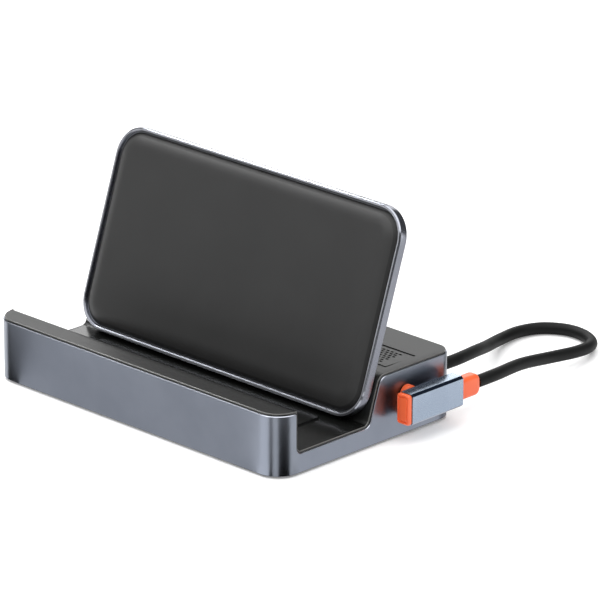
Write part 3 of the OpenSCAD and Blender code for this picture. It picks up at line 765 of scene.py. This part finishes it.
def makeSleeve():
    # a tube of eight flats, its ends eased, whose four long edges are cut at a slant
    def ring(y, inset, cut):
        a, b = sleeveW / 2 - inset, sleeveH / 2 - inset
        corners = [(-a + cut, -b), (a - cut, -b), (a, -b + cut), (a, b - cut), (a - cut, b),
                   (-a + cut, b), (-a, b - cut), (-a, -b + cut)]
        return atPlace(roundedPath(corners, [plug["edgeRadius"]] * 8, 3), y, sleeveMiddle)

    lo, hi, ease, t = sleeveLo[1], sleeveHi[1], plug["ease"], plug["sleeveWall"]
    rings = [ring(y, inset, plug["cut"])
             for y, inset in ((lo, ease), (lo + ease, 0), (hi - ease, 0), (hi, ease))]
    rings += [ring(y, t, 0.7 * plug["cut"]) for y in (hi, lo)]
    finish = np.zeros((6, len(rings[0])), int)
    # the slanted cuts take the dark navy polish, a painted reflection
    finish[:4, 7::8] = 1     # the cuts lie between every other pair of corner arcs
    sleeve = loft("plug_sleeve_tube", rings, wrapRows=True, sharp=20,
                  materials=[sleeveAluminium, sleeveCutPaintedReflection], faceMaterial=finish.ravel())
    faceOut(sleeve)
    return finishPiece(sleeve, "stowed_plug", "plug_aluminium", "plug_sleeve")


makeSleeve()


def makeCore():
    # rings along the plug, each inset from the sleeve's section. From the front: a raised panel
    # in a groove, a rounded border, the side, then a dark gap before the sleeve
    front = boxOf("plug_core")[0][1]
    back = sleeveLo[1] - plug["gap"]
    stops = [(front + 0.05, 1.5), (front + 0.09, 1.32), (front + 0.42, 1.18), (front + 0.42, 1.02),
             (front + 0.06, 0.9), (front, 0.78), (front + 0.1, 0.42), (front + 0.3, 0.22),
             (front + 0.55, 0.15), (back, 0.15), (back + 0.06, 0.25), (back + 0.08, 1.2),
             (sleeveHi[1] - 0.05, 1.2)]
    rings = []
    for y, k in stops:
        radius = plug["corner"] - 0.8 * k * (k < 1.3)
        outline = roundedBox(sleeveW - 2 * k, sleeveH - 2 * k, radius, 6)
        rings.append(atPlace(outline, y, sleeveMiddle))
    return faceOut(loft("plug_body_core", rings, caps=(True, True),
                        materials=[orangePolycarbonate]))


def makeCollar():
    # an upright stadium between the plug's body and the side wall, rounded at both ends
    c = collarShape
    wallX = halfW + c["wallGap"]
    rings = []
    for x, k in ((wallX, c["round"]), (wallX + c["round"], 0), (sleeveLo[0] - 0.35, 0),
                 (sleeveLo[0] - 0.1, c["round"]), (sleeveLo[0] + 0.4, 2.0)):
        outline = roundedBox(c["width"] - 2 * k, c["height"] - 2 * k,
                             c["width"] / 2 - k - 0.01, 10)
        rings.append(np.stack([np.full(len(outline), x), c["y"] + outline[:, 0],
                               sleeveMiddle[2] + outline[:, 1]], -1))
    return faceOut(loft("plug_collar", np.array(rings) * mm, caps=(True, True), sharp=40,
                        materials=[orangePolycarbonate]))


def makeRelief():
    # a straight boot whose end closes along a quarter circle, down to a small flat
    r = reliefShape
    lo, hi = boxOf("plug_relief")
    middle = (lo + hi) / 2
    start = hi[1] - r["bend"]
    places = np.concatenate([[lo[1]], np.linspace(lo[1] + 0.5, start, 4),
                             start + r["bend"] * np.sin(np.linspace(0.15, math.pi / 2, 12))])
    past = np.maximum(places - start, 0)
    closing = r["bend"] - np.sqrt(np.maximum(r["bend"] ** 2 - past ** 2, 0))
    rings = []
    for y, cut in zip(places, closing):
        w = max(hi[0] - lo[0] - r["taper"][0] * cut, r["least"][0])
        h = max(hi[2] - lo[2] - r["taper"][1] * cut, r["least"][1])
        rings.append(atPlace(roundedBox(w, h, min(r["corner"], w / 2 - 0.01), 8), y, middle))
    return faceOut(loft("plug_strain_relief", rings, caps=(True, True), sharp=50,
                        materials=[orangePolycarbonate]))


core = finishPiece(makeCore(), "stowed_plug", "orange_plastic", "plug_core")
collar = finishPiece(makeCollar(), "stowed_plug", "orange_plastic")
relief = finishPiece(makeRelief(), "stowed_plug", "orange_plastic", "plug_relief")
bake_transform(leadTube)
print("plug made")


# carried-over parts

zincPlate = bareMetal("zinc_plated_steel", "#9a9ca0", 0.28)       # screws, pins: pale and bright
nickelCan = bareMetal("nickel_plated_can", "#c4c6ca", 0.2)        # port cans: nearly a mirror
brassWasher = bareMetal("brass_washer", "#b08d4a", 0.25)          # a warm ring beside the steel
millAluminium = bareMetal("mill_aluminium", "#aeb1b6", 0.35)      # rolled sheet: dull silver
footRubber = mouldedPlastic("silicone_rubber", ("#1d1e1e", "#222323"), (0.6, 0.7), size=0.6667)
solderMask = mouldedPlastic("green_solder_mask", ("#17402d", "#1b4a34"), (0.28, 0.36))
chipEpoxy = mouldedPlastic("moulded_chip_epoxy", ("#17181a", "#1c1d1f"), (0.5, 0.6))
padSilicone = mouldedPlastic("thermal_silicone", ("#a895a2", "#b3a0ad"), (0.7, 0.8))
nylon = mouldedPlastic("natural_nylon", ("#cfcabb", "#d8d3c4"), (0.4, 0.5))

finishes = {
    "anodised_aluminium": rimAluminium, "black_plastic": coverAbs, "steel": zincPlate,
    "foot_rubber": footRubber, "circuit_board": solderMask, "port_metal": nickelCan,
    "chip_plastic": chipEpoxy, "thermal_pad": padSilicone, "plain_aluminium": millAluminium,
    "lead_sheath": leadSheath, "header_plastic": nylon, "brass": brassWasher,
    "soft_pad": padSkin, "plug_aluminium": sleeveAluminium, "orange_plastic": orangePolycarbonate}

# the cradle's pad takes the same darker ABS, whose darkness is painted shade
ownFinish = {"bottom_cover": bottomAbs, "slot_pad": cradleAbsPaintedShade}
slotOf = {s["node"]: s["material_slot"] for s in frame["record"]["subparts"]}
for name, node in nodes.items():
    material = ownFinish.get(name, finishes[slotOf[name]])
    for place in node.material_slots:
        place.material = material
    if not node.material_slots:
        node.data.materials.append(material)
print("carried-over parts finished")


# floor and light

# the floor reaches metres out, and lift is the light the seen floor gives off by itself
studio = dict(floorColour="#f4f4f4", reach=6.0, lift=0.22, under=0.0001,
              worldColour="#f2f4f7", worldStrength=0.13)


def seenOnlyBy(thing, *kinds):
    # the other kinds of ray pass through the thing
    for kind in ("camera", "diffuse", "glossy", "shadow", "transmission", "volume_scatter"):
        setattr(thing, "visible_" + kind, kind in kinds)


def makeFloor(name, height, lift):
    # one square of floor at that height
    material, tree, bsdf = surface(name, Roughness=0.6)
    bsdf.inputs["Base Color"].default_value = linear(studio["floorColour"])
    bsdf.inputs["Emission Color"].default_value = linear("#ffffff")
    bsdf.inputs["Emission Strength"].default_value = lift
    edge = 2 * studio["reach"]
    points = np.c_[boxCorners(edge, edge), np.full(4, height)]
    floor = buildMesh(name, points, [(0, 1, 2, 3)], materials=[material])
    return floor


def makeStage():
    # the floor as it is seen is lit from below, which thins the shadows on it, and just under it
    # is a plain one for the metal and plastic to reflect
    seenOnlyBy(makeFloor("lit_sweep", 0.0, studio["lift"]), "camera")
    makeFloor("pale_floor", -studio["under"], 0.0).visible_camera = False
    world = bpy.data.worlds.new("studio")
    bpy.context.scene.world = world
    world.use_nodes = True
    background = world.node_tree.nodes["Background"]
    background.inputs["Color"].default_value = linear(studio["worldColour"])
    background.inputs["Strength"].default_value = studio["worldStrength"]


def areaLight(name, place, aim, size, power):
    # a rectangle of light, sizes in metres, that faces its aim
    light = bpy.data.lights.new(name, "AREA")
    light.shape = "RECTANGLE"
    light.size, light.size_y = size
    light.energy = power
    lamp = bpy.data.objects.new(name, light)
    lamp.location = place
    lamp.rotation_mode = "QUATERNION"
    lamp.rotation_quaternion = (Vector(aim) - Vector(place)).to_track_quat("-Z", "Y")
    bpy.context.scene.collection.objects.link(lamp)


def sunLight(power, spread, azimuth, elevation):
    # an even overhead light, soft enough that shadows have no edge
    light = bpy.data.lights.new("overhead", "SUN")
    light.energy, light.angle = power, math.radians(spread)
    lamp = bpy.data.objects.new("overhead", light)
    lamp.rotation_euler = (math.radians(90 - elevation), 0, math.radians(azimuth + 90))
    bpy.context.scene.collection.objects.link(lamp)


def onRing(azimuth, elevation, distance=0.9):
    # a place so far from the origin, in that direction
    a, e = math.radians(azimuth), math.radians(elevation)
    return (distance * math.cos(a) * math.cos(e), distance * math.sin(a) * math.cos(e),
            distance * math.sin(e))


def reflectionCard(name, side, turn, run, glow, slide, reach=0.08, steps=13):
    # a patch of floor seen only in metal, as a studio's flags and reflectors are, dark where
    # glow is 0: from each place on the band's corner, where the wall faces a, it reaches
    # along the heading 2a + 90 degrees - the view's azimuth; it may start slide mm along the
    # flat wall and run on
    material, tree, bsdf = surface(name, Roughness=1.0)
    bsdf.inputs["Base Color"].default_value = (0, 0, 0, 1)
    bsdf.inputs["Specular IOR Level"].default_value = 0
    bsdf.inputs["Emission Color"].default_value = linear("#f7f8fb")
    bsdf.inputs["Emission Strength"].default_value = glow
    a = np.radians(np.append(np.linspace(turn[0], turn[1], steps), turn[1]))
    along = np.append(np.full(steps, slide), slide + run)
    r = base["frontRadius"]
    wall = np.stack([-np.sin(a), np.cos(a)], -1)
    starts = np.stack([side * (halfW - r) + r * np.cos(a), r - halfD + r * np.sin(a)], -1)
    starts = (starts + wall * along[:, None]) * mm
    heading = 2 * a + math.radians(90 - view["azimuth"])
    way = np.stack([np.cos(heading), np.sin(heading)], -1)
    rows = [np.c_[starts + way * d, np.full(len(a), 0.0004)] for d in (0.0005, reach / 2, reach)]
    card = buildMesh(name, np.vstack(rows), gridFaces(3, len(a), wrapCols=False),
                     materials=[material])
    seenOnlyBy(card, "glossy")


sun = dict(power=3.3, spread=90, azimuth=-45, elevation=80)

# direction in degrees, aim and size in metres, power in watts
softboxes = {"rear_left_softbox": (134, 24, (0.02, 0.0, 0.02), (0.7, 0.3), 1.8),
             "left_strip": (177, 49, (0.0, -0.03, 0.012), (0.6, 0.1), 3.5),
             "front_fill": (-106, 40, (0.0, 0.0, 0.02), (0.6, 0.4), 1.3),
             "right_softbox": (25, 8, (0.069, 0.0, 0.012), (0.5, 0.12), 0.9)}

# side, the range of headings on the corner in degrees, run in mm, glow, slide in mm
cards = {"bright_card": (1, (-68, -88), -2, 1.9, 0),
         "dark_card_narrow": (1, (-65, -58), 0, 0.0, 0),
         "dark_card_wide": (1, (-45, -19), 0, 0.0, 0),
         "dark_card_left": (-1, (-102, -90), 4, 0.05, 0),
         "grey_card_front": (-1, (-90, -90), 113, 0.98, 4.5),
         "pale_card_side": (1, (0, 0), 68, 1.25, 0.5)}

makeStage()
sunLight(**sun)
for name, (azimuth, elevation, aim, size, power) in softboxes.items():
    areaLight(name, onRing(azimuth, elevation), aim, size, power)
for name, values in cards.items():
    reflectionCard(name, *values)
bpy.context.scene.view_settings.view_transform = "Standard"
print("stage lit")
